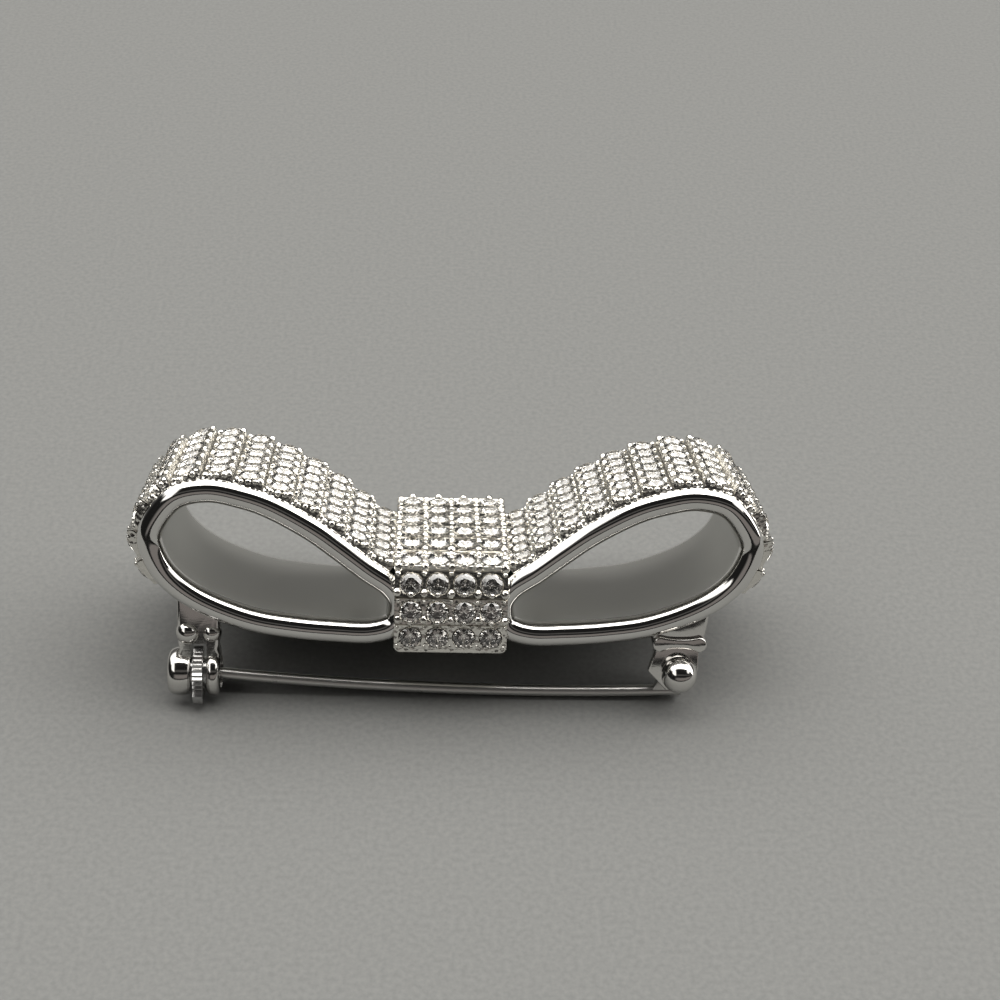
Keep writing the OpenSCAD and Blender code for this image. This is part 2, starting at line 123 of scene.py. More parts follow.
def band_section(floor):
    """Points across the band with their share of painted shade and satin: half-round rim, field,
    half-round rim, inner face.
    """
    arc = [math.radians(-90 + 180 * k / rim_steps) for k in range(rim_steps + 1)]
    rim_y = half_w - rim_r
    field, inside = rim_y - rim_lap, rim_y - lining_inset
    # The rims get no painted shade. The field and the inner face get all of it: their darker colour is
    # painted shade under the bow and inside the loop, and they are satin too.
    return ([(-rim_y - rim_r * math.cos(a), rim_r * math.sin(a), 0.0) for a in arc]
            + [(-field, rim_r + floor, 1.0), (field, rim_r + floor, 1.0)]
            + [(rim_y + rim_r * math.cos(a), rim_r * math.sin(a), 0.0) for a in reversed(arc)]
            + [(inside, -rim_r, 1.0), (-inside, -rim_r, 1.0)])


def loop_band():
    """One loop's band: its field is sunk under the rows of stones, and plain for the rest of the way."""
    stations = [(rows_start - set_lap, 0.0), (rows_start - set_lap + set_wall, set_floor)]
    s, last = rows_start, rows_end - set_lap - set_wall
    while s < last:
        s += set_step
        stations.append((min(s, last), set_floor))
    stations += [(rows_end - set_lap, set_floor), (rows_end - set_lap + set_wall, 0.0)]
    plain = outer_len + rows_start - set_lap - rows_end
    stations += [(rows_end + plain * k / plain_steps, 0.0) for k in range(1, plain_steps)]
    points, faces, shade_and_satin = [], [], []
    width = len(band_section(0))
    for s, floor in stations:
        p, n = along_loop(s)
        for y, h, g in band_section(floor):
            points.append((p.x + h * n.x, y, p.y + h * n.y))
            shade_and_satin.append(g)
    for i in range(len(stations)):
        for j in range(width):
            i2, j2 = (i + 1) % len(stations), (j + 1) % width
            faces.append((i * width + j, i * width + j2, i2 * width + j2, i2 * width + j))
    return points, faces, shade_and_satin


def join_shells(*shells):
    """One list of points, faces and shares of painted shade and satin from several."""
    points, faces, shade_and_satin = [], [], []
    for shell in shells:
        at = len(points)
        points += shell[0]
        faces += [tuple(at + i for i in f) for f in shell[1]]
        shade_and_satin += shell[2] if len(shell) > 2 else [0.0] * len(shell[0])
    return points, faces, shade_and_satin


def mirrored(shell):
    """The same shell on the other side of the bow."""
    return ([(-x, y, z) for x, y, z in shell[0]],) + tuple(shell[1:])


def welded_mesh(name, shell, reach):
    """Mesh of a shell, with points closer than the reach welded and its faces turned outward."""
    bm = bmesh.new()
    depth = bm.verts.layers.float.new("shade_and_satin")
    shade_and_satin = shell[2] if len(shell) > 2 else [0.0] * len(shell[0])
    made = []
    for p, g in zip(shell[0], shade_and_satin):
        v = bm.verts.new(p)
        v[depth] = g
        made.append(v)
    for f in shell[1]:
        bm.faces.new([made[i] for i in f])
    bmesh.ops.remove_doubles(bm, verts=bm.verts, dist=reach)
    bmesh.ops.recalc_face_normals(bm, faces=bm.faces)
    mesh = bpy.data.meshes.new(name)
    bm.to_mesh(mesh)
    bm.free()
    return mesh


def brooch_piece(name, shell, finish, body, slot, *nodes, flat=False):
    """Mesh object of the brooch, from points in the bow's own frame."""
    mesh = welded_mesh(name, shell, weld_reach)
    mesh.transform(lay_down)
    if not flat:
        mesh.shade_smooth()
        mesh.set_sharp_from_angle(angle=math.radians(crease))
    mesh.materials.append(finish)
    obj = bpy.data.objects.new(name, mesh)
    bpy.context.scene.collection.objects.link(obj)
    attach(obj, body)
    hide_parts(*nodes)


def maths(tree, kind, a, b):
    """Result of a maths node on two numbers or sockets."""
    node = tree.nodes.new("ShaderNodeMath")
    node.operation = kind
    for socket, value in zip(node.inputs, (a, b)):
        if isinstance(value, (int, float)):
            socket.default_value = value
        else:
            tree.links.new(value, socket)
    return node.outputs[0]


def noise(tree, scale, detail=2.0, place=None):
    """Cloudy pattern at the place, or over the piece's own box where no place is given."""
    node = tree.nodes.new("ShaderNodeTexNoise")
    node.inputs["Scale"].default_value = scale
    node.inputs["Detail"].default_value = detail
    if place is not None:
        tree.links.new(place, node.inputs["Vector"])
    return node.outputs[0]


def colour_between(tree, share, first, second):
    """Colour that goes from the first to the second as the share goes from 0 to 1."""
    node = tree.nodes.new("ShaderNodeMix")
    node.data_type = "RGBA"
    node.inputs[6].default_value = (*first, 1)
    node.inputs[7].default_value = (*second, 1)
    tree.links.new(share, node.inputs[0])
    return node.outputs[2]


# Buffing leaves hair-fine lines and a faint haze of handling on every polished surface
polish_marks = bpy.data.node_groups.new("polish_marks", "ShaderNodeTree")
for label, value in (("Gloss", 0.05), ("Lines", 0.04), ("Haze", 0.05)):
    socket = polish_marks.interface.new_socket(label, in_out="INPUT", socket_type="NodeSocketFloat")
    socket.default_value = value
for label in ("Roughness", "Height"):
    polish_marks.interface.new_socket(label, in_out="OUTPUT", socket_type="NodeSocketFloat")
marks_in = polish_marks.nodes.new("NodeGroupInput").outputs
marks_out = polish_marks.nodes.new("NodeGroupOutput").inputs
marks_at = polish_marks.nodes.new("ShaderNodeTexCoord").outputs["Object"]
marks_stretch = polish_marks.nodes.new("ShaderNodeMapping")
marks_stretch.inputs["Scale"].default_value = (500, 3500, 2600)
marks_stretch.inputs["Rotation"].default_value = (0.3, 0.5, 0.6)
polish_marks.links.new(marks_at, marks_stretch.inputs["Vector"])
buff_lines = noise(polish_marks, 3.0, 3.0, marks_stretch.outputs[0])
hand_haze = noise(polish_marks, 260.0, 3.0, marks_at)
dulling = maths(polish_marks, "ADD", marks_in["Gloss"],
                maths(polish_marks, "MULTIPLY", marks_in["Lines"], buff_lines))
dulling = maths(polish_marks, "ADD", dulling,
                maths(polish_marks, "MULTIPLY", marks_in["Haze"], hand_haze))
polish_marks.links.new(dulling, marks_out["Roughness"])
polish_marks.links.new(maths(polish_marks, "ADD", buff_lines, hand_haze), marks_out["Height"])


def polished_metal(name, colour, dull_shade, gloss, lines, haze, bump, satin=0.2, cuts=0.0):
    """Polished white metal: its buffing lines, its haze, and painted shade in its recesses, where the
    colour is darker and the metal satin.
    """
    tone_scale, tone_share, mark_depth, cut_scale = 420.0, 0.1, 4e-6, 3400.0
    finish = bpy.data.materials.new(name)
    finish.use_nodes = True
    tree = finish.node_tree
    shader = tree.nodes["Principled BSDF"]
    shader.inputs["Metallic"].default_value = 1.0
    marks = tree.nodes.new("ShaderNodeGroup")
    marks.node_tree = polish_marks
    for label, value in (("Gloss", gloss), ("Lines", lines), ("Haze", haze)):
        marks.inputs[label].default_value = value
    shade_and_satin = tree.nodes.new("ShaderNodeAttribute")
    shade_and_satin.attribute_name = "shade_and_satin"
    depth = shade_and_satin.outputs["Fac"]
    # Painted shade: the colour turns toward the shaded colour where the mesh marks recesses, with a
    # small random tone over all of it.
    shade_and_tone = maths(tree, "ADD", depth, maths(tree, "MULTIPLY", noise(tree, tone_scale), tone_share))
    tree.links.new(colour_between(tree, shade_and_tone, colour, dull_shade), shader.inputs["Base Color"])
    rough = maths(tree, "ADD", marks.outputs["Roughness"], maths(tree, "MULTIPLY", depth, satin))
    tree.links.new(rough, shader.inputs["Roughness"])
    relief = tree.nodes.new("ShaderNodeBump")
    relief.inputs["Strength"].default_value = bump
    relief.inputs["Distance"].default_value = mark_depth
    tree.links.new(marks.outputs["Height"], relief.inputs["Height"])
    if cuts:
        cells = tree.nodes.new("ShaderNodeTexVoronoi")
        cells.inputs["Scale"].default_value = cut_scale
        place = tree.nodes.new("ShaderNodeTexCoord")
        tree.links.new(place.outputs["Object"], cells.inputs["Vector"])
        chisel = tree.nodes.new("ShaderNodeBump")
        chisel.inputs["Strength"].default_value = 1.0
        chisel.inputs["Distance"].default_value = cuts
        tree.links.new(cells.outputs["Distance"], chisel.inputs["Height"])
        tree.links.new(chisel.outputs[0], relief.inputs["Normal"])
    tree.links.new(relief.outputs[0], shader.inputs["Normal"])
    return finish


# Its shaded colour is painted shade, on the loops' field and inner face.
bright_silver = polished_metal("bright_silver", colour=(0.76, 0.75, 0.73), dull_shade=(0.53, 0.526, 0.503),
                               gloss=0.03, lines=0.03, haze=0.04, bump=0.2, satin=0.32)
band = loop_band()
brooch_piece("right_loop_band", band, bright_silver, "bow", "polished_silver", "bow_frame")
brooch_piece("left_loop_band", mirrored(band), bright_silver, "bow", "polished_silver", "bow_frame")

# The stepped rows of stone seats on both loops. Each row is a bar cut with round seats, high at its
# edge on the knot's side and low at its far edge, and beads of the same metal are raised between
# the stones. The next row starts behind a gap, whose walls and floor are painted dark as shade.
row_gap, row_high, row_low = 0.14, 0.55, 0.15
stone_d, stone_space, stones_across = 1.3, 0.3, 6
seat_r, seat_depth, seat_floor = stone_d / 2 + 0.05, 0.72, 0.2
stone_pitch = stone_d + stone_space
bar_len = row_pitch - row_gap
skirt_run, skirt_foot, skirt_off = 0.2, -0.1, 0.002

# How much painted shade and satin the metal gets on a row's top, on its ends, and down in the gap
# to the next row, where it is full
top_dull_shade, end_dull_shade, gap_dull_shade = 0.1, 0.2, 1.0

# A seat from its rim to its floor: radius, depth and how much painted shade and satin the metal gets
SEAT_RINGS = [(seat_r + 0.02, 0, 0), (seat_r - 0.03, 0.08, 0.3), (seat_floor, seat_depth, 0.8)]

# The beads: the near ones at a row's high edge, the far ones at its low edge, small ones in the middle
# of each stone's near side, and those on a row's ends. A bead is sunk by a share of its radius, and its
# size and place vary a little.
near_sunk, far_sunk, mid_sunk, end_sunk = 0.55, 0.3, -0.2, 0.75
mid_bead, end_bead, bead_lead, far_lead = 0.11, 0.2, 0.75, 0.85
bead_reach, end_out = 4.7, 0.12
smallest, largest, stray_along, stray_across = 0.88, 1.1, 0.03, 0.04

# The near and the far beads' radius, and how many beads stand on each end of a row. The last three
# rows, round the loop's outer end, have small ones and none on their ends.
full_rows, full_beads, small_beads = 9, (0.24, 0.2, 3), (0.17, 0.15, 0)


def bead(centre, r, rounds=8, sectors=12):
    """Ball of metal."""
    points, faces = [centre + Vector((0, 0, r))], []
    for i in range(1, rounds):
        a = math.pi * i / rounds
        for k in range(sectors):
            b = 2 * math.pi * k / sectors
            points.append(centre + r * Vector((math.sin(a) * math.cos(b), math.sin(a) * math.sin(b),
                                               math.cos(a))))
    points.append(centre - Vector((0, 0, r)))
    for k in range(sectors):
        k2 = (k + 1) % sectors
        faces.append((0, 1 + k, 1 + k2))
        for i in range(rounds - 2):
            a, b = 1 + i * sectors, 1 + (i + 1) * sectors
            faces.append((a + k, b + k, b + k2, a + k2))
        last = 1 + (rounds - 2) * sectors
        faces.append((last + k, len(points) - 1, last + k2))
    return [tuple(p) for p in points], faces


def seat_bar(place, length, high, low, count, half, skirt=0.0):
    """One row's bar: place(u, y, h) gives the point u along, y across and h above the surface."""
    points, faces, shade_and_satin = [], [], []
    side = 6

    def top(u):
        return high + (low - high) * u / length

    def put(u, y, h, dull_shade):
        points.append(tuple(place(u, y, h)))
        shade_and_satin.append(dull_shade)
        return len(points) - 1

    def face(*corners):
        faces.append(tuple(put(*corner) for corner in corners))

    edges = [(k - count / 2) * stone_pitch for k in range(count + 1)]
    for y0, y1 in zip(edges, edges[1:]):
        cu, cy = length / 2, (y0 + y1) / 2
        border = ([(length * i / side, y0) for i in range(side)]
                  + [(length, y0 + (y1 - y0) * i / side) for i in range(side)]
                  + [(length * (1 - i / side), y1) for i in range(side)]
                  + [(0, y1 + (y0 - y1) * i / side) for i in range(side)])
        ways = [math.atan2(y - cy, u - cu) for u, y in border]
        rings = [[put(u, y, top(u), top_dull_shade) for u, y in border]]
        # The seats darken toward their floors with painted shade.
        for r, sink, dull_shade in SEAT_RINGS:
            spots = [(cu + r * math.cos(a), cy + r * math.sin(a)) for a in ways]
            rings.append([put(u, y, top(u) - sink, dull_shade) for u, y in spots])
        n = len(border)
        for a, b in zip(rings, rings[1:]):
            faces.extend((a[i], a[(i + 1) % n], b[(i + 1) % n], b[i]) for i in range(n))
        faces.append(tuple(rings[-1]))
    ends = [length * i / side for i in range(side + 1)]
    across = [round(edges[0] + stone_pitch * i / side, 6) for i in range(side * count + 1)]
    if half > edges[-1] + 0.01:
        for y0, y1 in ((-half, edges[0]), (edges[-1], half)):
            for u0, u1 in zip(ends, ends[1:]):
                face(*((u, y, top(u), top_dull_shade) for u, y in ((u0, y0), (u1, y0), (u1, y1), (u0, y1))))
        across = [-half] + across + [half]
    # Below the row's top: the walls and floor of the gap, painted dark as shade, and the row's ends, a
    # little shaded.
    outer = (-row_gap / 2, length + row_gap / 2)
    for u, foot in zip((0, length), outer):
        for y0, y1 in zip(across, across[1:]):
            face((u, y0, top(u), top_dull_shade), (u, y1, top(u), top_dull_shade),
                 (foot, y1, 0, gap_dull_shade), (foot, y0, 0, gap_dull_shade))
            face((foot, y0, 0, gap_dull_shade), (foot, y1, 0, gap_dull_shade),
                 (foot, y1, set_floor, gap_dull_shade), (foot, y0, set_floor, gap_dull_shade))
    for e, y in ((-1, across[0]), (1, across[-1])):
        y0, foot = y + e * skirt_off, y + e * (skirt + skirt_off)
        for u0, u1 in zip(ends, ends[1:]):
            face((u0, y0, top(u0), end_dull_shade), (u1, y0, top(u1), end_dull_shade),
                 (u1, foot, skirt_foot, end_dull_shade), (u0, foot, skirt_foot, end_dull_shade))
            face((u0, y, top(u0), end_dull_shade), (u1, y, top(u1), end_dull_shade),
                 (u1, y, set_floor, end_dull_shade), (u0, y, set_floor, end_dull_shade))
        for u, foot in zip((0, length), outer):
            face((u, y, top(u), end_dull_shade), (foot, y, 0, gap_dull_shade),
                 (foot, y, set_floor, gap_dull_shade), (u, y, set_floor, gap_dull_shade))
    below = [outer[0]] + ends + [outer[1]]
    for u0, u1 in zip(below, below[1:]):
        for y0, y1 in zip(across, across[1:]):
            face(*((u, y, set_floor, gap_dull_shade) for u, y in ((u0, y0), (u1, y0), (u1, y1), (u0, y1))))
    return points, faces, shade_and_satin


uneven = random.Random(11)


def bead_rows(place, length, high, low, count, reach, near, far, mid, lead, ends, out):
    """Beads of one row, none of them quite like the next."""
    spots = [(lead * mid, (k + 0.5 - count / 2) * stone_pitch, mid, mid_sunk) for k in range(count)]
    for k in range(count + 1):
        y = max(-reach, min(reach, (k - count / 2) * stone_pitch))
        spots += [(lead * near, y, near, near_sunk), (length - far_lead * far, y, far, far_sunk)]
    for k in range(1, ends + 1):
        spots += [(length * k / (ends + 1), e * (reach + out), end_bead, end_sunk) for e in (-1, 1)]
    shells = []
    for u, y, r, sunk in spots:
        r *= uneven.uniform(smallest, largest)
        h = high + (low - high) * u / length - sunk * r
        u += uneven.uniform(-stray_along, stray_along)
        y += uneven.uniform(-stray_across, stray_across)
        shells.append(bead(Vector(place(u, y, h)), r))
    return shells


def loop_place(k):
    """Place function of a loop's row k."""
    def place(u, y, h):
        p, n = along_loop(rows_start + k * row_pitch + u)
        return p.x + (rim_r + h) * n.x, y, p.y + (rim_r + h) * n.y
    return place


row_shells = []
for k in range(loop_rows):
    row = (loop_place(k), bar_len, row_high, row_low, stones_across)
    near, far, ends = full_beads if k < full_rows else small_beads
    row_shells.append(seat_bar(*row, stones_across * stone_pitch / 2, skirt_run))
    row_shells += bead_rows(*row, bead_reach, near, far, mid_bead, bead_lead, ends, end_out)
set_rows = join_shells(*row_shells)
# Its shaded colour is painted shade, in the seats and in the gaps between rows.
cut_silver = polished_metal("cut_silver", colour=(0.86, 0.84, 0.79), dull_shade=(0.57, 0.55, 0.51),
                            gloss=0.08, lines=0.05, haze=0.06, bump=0.5, cuts=0.00005)
brooch_piece("right_loop_seats", set_rows, cut_silver, "bow", "polished_silver", "bow_frame")
brooch_piece("left_loop_seats", mirrored(set_rows), cut_silver, "bow", "polished_silver", "bow_frame")

# The clear stones of both loops, round brilliants with a flat table, a faceted crown and a pointed
# pavilion, each seated in its own hole and held by the beads at its corners.
table_share, crown_h, pavilion_h = 0.57, 0.195, 0.53
crown_mid, pavilion_mid, girdle_half = 0.8, 0.22, 0.012
stone_lift, spin_step = 0.06, 0.39
axis_x, axis_y, axis_z = Vector((1, 0, 0)), Vector((0, 1, 0)), Vector((0, 0, 1))


def brilliant(centre, up, side, spin):
    """Round brilliant with its girdle at the centre, turned on its own axis by the spin."""
    r, other = stone_d / 2, up.cross(side)

    def ring(radius, z, count, turn):
        out = []
        for k in range(count):
            a = 2 * math.pi * k / count + turn + spin
            out.append(centre + radius * (math.cos(a) * side + math.sin(a) * other) + z * up)
        return out

    step = math.pi / 8
    mid, low = crown_mid * r, pavilion_mid * r
    mid_z = crown_h * (r - mid * math.cos(step)) / (r * (1 - table_share))
    low_z = -pavilion_h * (1 - low * math.cos(step) / r)
    points = (ring(table_share * r, crown_h, 8, 0) + ring(mid, mid_z, 8, step)
              + ring(r, girdle_half, 16, 0) + ring(r, -girdle_half, 16, 0)
              + ring(low, low_z, 8, step) + [centre - pavilion_h * up])
    table, crown, upper, lower, base, tip = 0, 8, 16, 32, 48, 56
    faces = [tuple(range(8))]
    for k in range(8):
        k2, g, g1, g2 = (k + 1) % 8, 2 * k, 2 * k + 1, (2 * k + 2) % 16
        faces += [(table + k, crown + k, table + k2),
                  (table + k, crown + (k - 1) % 8, upper + g, crown + k),
                  (crown + k, upper + g, upper + g1), (crown + k, upper + g1, upper + g2),
                  (upper + g, lower + g, lower + g1, upper + g1),
                  (upper + g1, lower + g1, lower + g2, upper + g2),
                  (base + k, lower + g1, lower + g), (base + k, lower + g2, lower + g1),
                  (lower + g, base + (k - 1) % 8, tip, base + k)]
    return [tuple(p) for p in points], faces


def two_tone(tree, share, low, first, high, second):
    """Colour that turns from the first to the second where the share goes from low to high."""
    ramp = tree.nodes.new("ShaderNodeValToRGB")
    for stop, at, colour in zip(ramp.color_ramp.elements, (low, high), (first, second)):
        stop.position = at
        stop.color = (*colour, 1)
    tree.links.new(share, ramp.inputs[0])
    return ramp.outputs[0]


# Clear cut stone, with a trace of tint that drifts from stone to stone
clear_stone = bpy.data.materials.new("clear_stone")
clear_stone.use_nodes = True
stone_tree = clear_stone.node_tree
stone_shader = stone_tree.nodes["Principled BSDF"]
for label, value in (("Transmission Weight", 1.0), ("IOR", 2.15), ("Roughness", 0.0)):
    stone_shader.inputs[label].default_value = value
tint = two_tone(stone_tree, noise(stone_tree, 700.0), 0.35, (0.97, 0.985, 0.95), 0.65, (1.0, 0.94, 0.89))
stone_tree.links.new(tint, stone_shader.inputs["Base Color"])

lean = math.atan((row_high - row_low) / bar_len)
stone_shells = []
for k in range(loop_rows):
    p, n = along_loop(rows_start + k * row_pitch + bar_len / 2)
    way = math.atan2(n.y, n.x) - lean
    up = Vector((math.cos(way), 0, math.sin(way)))
    at = p + (rim_r + (row_high + row_low) / 2) * n
    for j in range(stones_across):
        y = (j - (stones_across - 1) / 2) * stone_pitch
        centre = Vector((at.x, y, at.y)) + stone_lift * up
        stone_shells.append(brilliant(centre, up, axis_y, spin_step * ((3 * k + 5 * j) % 7)))
loop_set = join_shells(*stone_shells)
brooch_piece("right_loop_brilliants", loop_set, clear_stone, "bow", "clear_stone",
             "right_loop_stones", flat=True)
brooch_piece("left_loop_brilliants", mirrored(loop_set), clear_stone, "bow", "clear_stone",
             "left_loop_stones", flat=True)

# The knot, a domed band of the same metal wrapped over the middle from front to back. Thirteen rows
# of seats run across it, upright in front and behind, and nearly level over the top.
knot_proud, knot_drop, knot_across = 0.35, 0.25, 4
knot_high, knot_low, knot_round = 0.24, 0.1, 0.35
core_sunk, core_inset, knot_bead_in = 0.45, 0.02, 0.19
foot_h, foot_lap, foot_proud, foot_bend = 0.35, 0.05, 0.2, 0.12

# Each row's way in degrees, from the foot in front to the foot behind: 90 is upright and 0 is level
KNOT_ROWS = [101, 90, 72, 20, 10, 7, 4, 1, -2, -34, -86, -90, -98]

# The rows whose beads aren't the plain ones: near, far and middle radius, and how far in from the
# row's edge the near and the middle ones stand, as a share of the radius
KNOT_BEADS = {
    0: (0.15, 0.12, 0.07, bead_lead), 1: (0.29, 0.14, 0.16, bead_lead), 2: (0.29, 0.17, 0.18, bead_lead),
    3: (0.3, 0.19, 0.22, 0.3), 4: (0.27, 0.19, 0.17, 0.3), 9: (0.3, 0.2, 0.25, 0.3)}
PLAIN_BEADS = (0.22, 0.19, mid_bead, bead_lead)

# The upright rows in front have no beads on their ends, and the others so many on each
front_rows, end_beads = 3, 2

knot_ways = [Vector((math.cos(math.radians(a)), math.sin(math.radians(a)))) for a in KNOT_ROWS]
knot_sums = [Vector((0, 0))]
for way in knot_ways:
    knot_sums.append(knot_sums[-1] + way)
foremost, hindmost = min(p.x for p in knot_sums), max(p.x for p in knot_sums)
knot_pitch = (ribbon_w + 2 * knot_proud) / (hindmost - foremost)
knot_start = Vector((-half_w - knot_proud - foremost * knot_pitch, foot_h - knot_drop))
knot_bar = knot_pitch - row_gap


def knot_place(k):
    """Place function of the knot's row k."""
    corner, way = knot_start + knot_pitch * knot_sums[k], knot_ways[k]

    def place(u, x, h):
        return -x, corner.x + u * way.x - h * way.y, corner.y + u * way.y + h * way.x
    return place


def knot_core():
    """Solid middle of the knot, a little inside the bars' floors."""
    corners = []
    for k in range(len(KNOT_ROWS) + 1):
        before, after = knot_ways[max(k - 1, 0)], knot_ways[min(k, len(KNOT_ROWS) - 1)]
        inward = Vector((before.y + after.y, -before.x - after.x)).normalized()
        share = inward.x * before.y - inward.y * before.x
        corners.append(knot_start + knot_pitch * knot_sums[k] + inward * core_sunk / share)
    corners[0].y = corners[-1].y = knot_start.y
    n, x = len(corners), knot_w / 2 - core_inset
    points = [(side, p.x, p.y) for side in (x, -x) for p in corners]
    walls = [(i, (i + 1) % n, n + (i + 1) % n, n + i) for i in range(n)]
    return points, [tuple(range(n)), tuple(range(n, 2 * n))] + walls


def slab(outline, place, thick, bend, steps=3):
    """Plate of an outline, its edges rounded; place(a, b, t) gives the point at depth t."""
    arc = [math.pi / 2 * k / steps for k in range(steps + 1)]
    half = [(-thick / 2 + bend * (1 - math.sin(a)), bend * (1 - math.cos(a))) for a in reversed(arc)]
    levels = half + [(-t, inset) for t, inset in reversed(half)]
    n = len(outline)
    ways = []
    for i in range(n):
        a, b, c = (Vector(outline[(i + k) % n]) for k in (-1, 0, 1))
        d, e = (b - a).normalized(), (c - b).normalized()
        m = Vector((-d.y - e.y, d.x + e.x))
        m = m.normalized() if m.length > 1e-6 else Vector((-d.y, d.x))
        ways.append(m / max(0.5, m.dot(Vector((-d.y, d.x)))))
    turn = sum(a[0] * b[1] - a[1] * b[0] for a, b in zip(outline, outline[1:] + outline[:1]))
    sign = 1 if turn > 0 else -1
    points, faces = [], []
    for t, inset in levels:
        for p, m in zip(outline, ways):
            q = Vector(p) + sign * inset * m
            points.append(tuple(place(q.x, q.y, t)))
    for level in range(len(levels) - 1):
        for i in range(n):
            a, b = level * n + i, level * n + (i + 1) % n
            faces.append((a, b, b + n, a + n))
    faces += [tuple(range(n)), tuple(range(len(points) - n, len(points)))]
    return points, faces


foot_outline = [(knot_w / 2, knot_start.y + foot_lap), (-knot_w / 2, knot_start.y + foot_lap)]
for e, turned in ((-1, 180), (1, 270)):
    for k in range(7):
        a = math.radians(turned + 15 * k)
        foot_outline.append((e * (knot_w / 2 - knot_round) + knot_round * math.cos(a),
                             knot_round - knot_drop + knot_round * math.sin(a)))
foot_front = knot_start.x - foot_proud
foot_back = (knot_start + knot_pitch * knot_sums[-1]).x


def foot_place(a, b, t):
    """Place function of the knot's plain foot, which faces the front."""
    return a, (foot_front + foot_back) / 2 + t, b


knot_shells = [knot_core(), slab(foot_outline, foot_place, foot_back - foot_front, foot_bend)]
for k in range(len(KNOT_ROWS)):
    row = (knot_place(k), knot_bar, knot_high, knot_low, knot_across)
    ends = end_beads if k >= front_rows else 0
    knot_shells.append(seat_bar(*row, knot_w / 2))
    knot_shells += bead_rows(*row, knot_w / 2 - knot_bead_in, *KNOT_BEADS.get(k, PLAIN_BEADS), ends, 0.0)
brooch_piece("knot_band", join_shells(*knot_shells), cut_silver, "bow", "polished_silver", "bow_frame")

# The knot's clear stones, the same brilliants as on the loops, four to a row. Each is seated in its
# own hole and held by the beads at its corners.
knot_lean = math.atan((knot_high - knot_low) / knot_bar)
knot_stone_shells = []
for k, way in enumerate(knot_ways):
    n = Vector((-way.y, way.x))
    at = knot_start + knot_pitch * knot_sums[k] + knot_bar / 2 * way + (knot_high + knot_low) / 2 * n
    up = Vector((0, n.x, n.y))
    up.rotate(Matrix.Rotation(-knot_lean, 3, "X"))
    for j in range(knot_across):
        centre = Vector(((j - (knot_across - 1) / 2) * stone_pitch, at.x, at.y)) + stone_lift * up
        knot_stone_shells.append(brilliant(centre, up, axis_x, spin_step * ((5 * k + 3 * j) % 7)))
brooch_piece("knot_brilliants", join_shells(*knot_stone_shells), clear_stone, "bow", "clear_stone",
             "knot_stones", flat=True)

# The catch's housing, cast and soldered under the left loop: a neck with two round bosses, and a
# two-lobed barrel bored for the turning sleeve, slotted for the lever and open below for the stem.
catch_x, barrel_drop = 15.2, 2.5
barrel_d, barrel_l, barrel_shift, barrel_end_r, barrel_slot_r = 3.0, 3.2, 0.3, 1.05, 1.25
boss_d, roll_d, roll_l, roll_out, roll_up = 1.5, 1.2, 2.8, 0.4, 2.7
neck_w, neck_depth, neck_bend, nick_in, nick_z, nick_half = 2.5, 1.5, 0.2, 0.1, -0.8, 0.3
sleeve_d, run_gap, side_gap, mouth_w = 1.9, 0.05, 0.1, 0.94
lever_t, lever_gap, tab_reach = 0.62, 0.16, 2.08
cut_reach = 3
barrel_axis = Vector((-catch_x, -findings_y, -barrel_drop))


def lathe(profile, origin, axis, side, sectors=64):
    """Turned shell: the profile gives distance along the axis and radius, and radius 0 closes it."""
    other = axis.cross(side)
    points, faces, rings = [], [], []
    for t, r in profile:
        if r < 1e-6:
            rings.append([len(points)])
            points.append(origin + t * axis)
        else:
            rings.append(list(range(len(points), len(points) + sectors)))
            for k in range(sectors):
                a = 2 * math.pi * k / sectors
                points.append(origin + t * axis + r * (math.cos(a) * side + math.sin(a) * other))
    for a, b in zip(rings, rings[1:]):
        for k in range(sectors):
            k2 = (k + 1) % sectors
            if len(a) == 1:
                faces.append((a[0], b[k], b[k2]))
            elif len(b) == 1:
                faces.append((a[k], b[0], a[k2]))
            else:
                faces.append((a[k], b[k], b[k2], a[k2]))
    return [tuple(p) for p in points], faces


def drum(left, right, r, sectors=64):
    """Plain cylinder along the barrel's axis."""
    return lathe([(left, 0), (left, r), (right, r), (right, 0)], barrel_axis, axis_x, axis_y, sectors)


def lobe(t0, t1, low0, low1):
    """Profile of one crowned lobe of the barrel, its ends drawn in to the radii low0 and low1."""
    steps, crown = 12, 2.1
    out = []
    for k in range(steps + 1):
        share = -math.cos(math.pi * k / steps)
        low = low0 if share < 0 else low1
        r = low + (barrel_d / 2 - low) * max(0.0, 1 - abs(share) ** crown) ** (1 / crown)
        out.append(((t0 + t1) / 2 + share * (t1 - t0) / 2, r))
    return out


def block(low, high):
    """Box between two corners."""
    points = [(x, y, z) for x in (low[0], high[0]) for y in (low[1], high[1]) for z in (low[2], high[2])]
    return points, [(0, 1, 3, 2), (4, 6, 7, 5), (0, 4, 5, 1), (2, 3, 7, 6), (0, 2, 6, 4), (1, 5, 7, 3)]


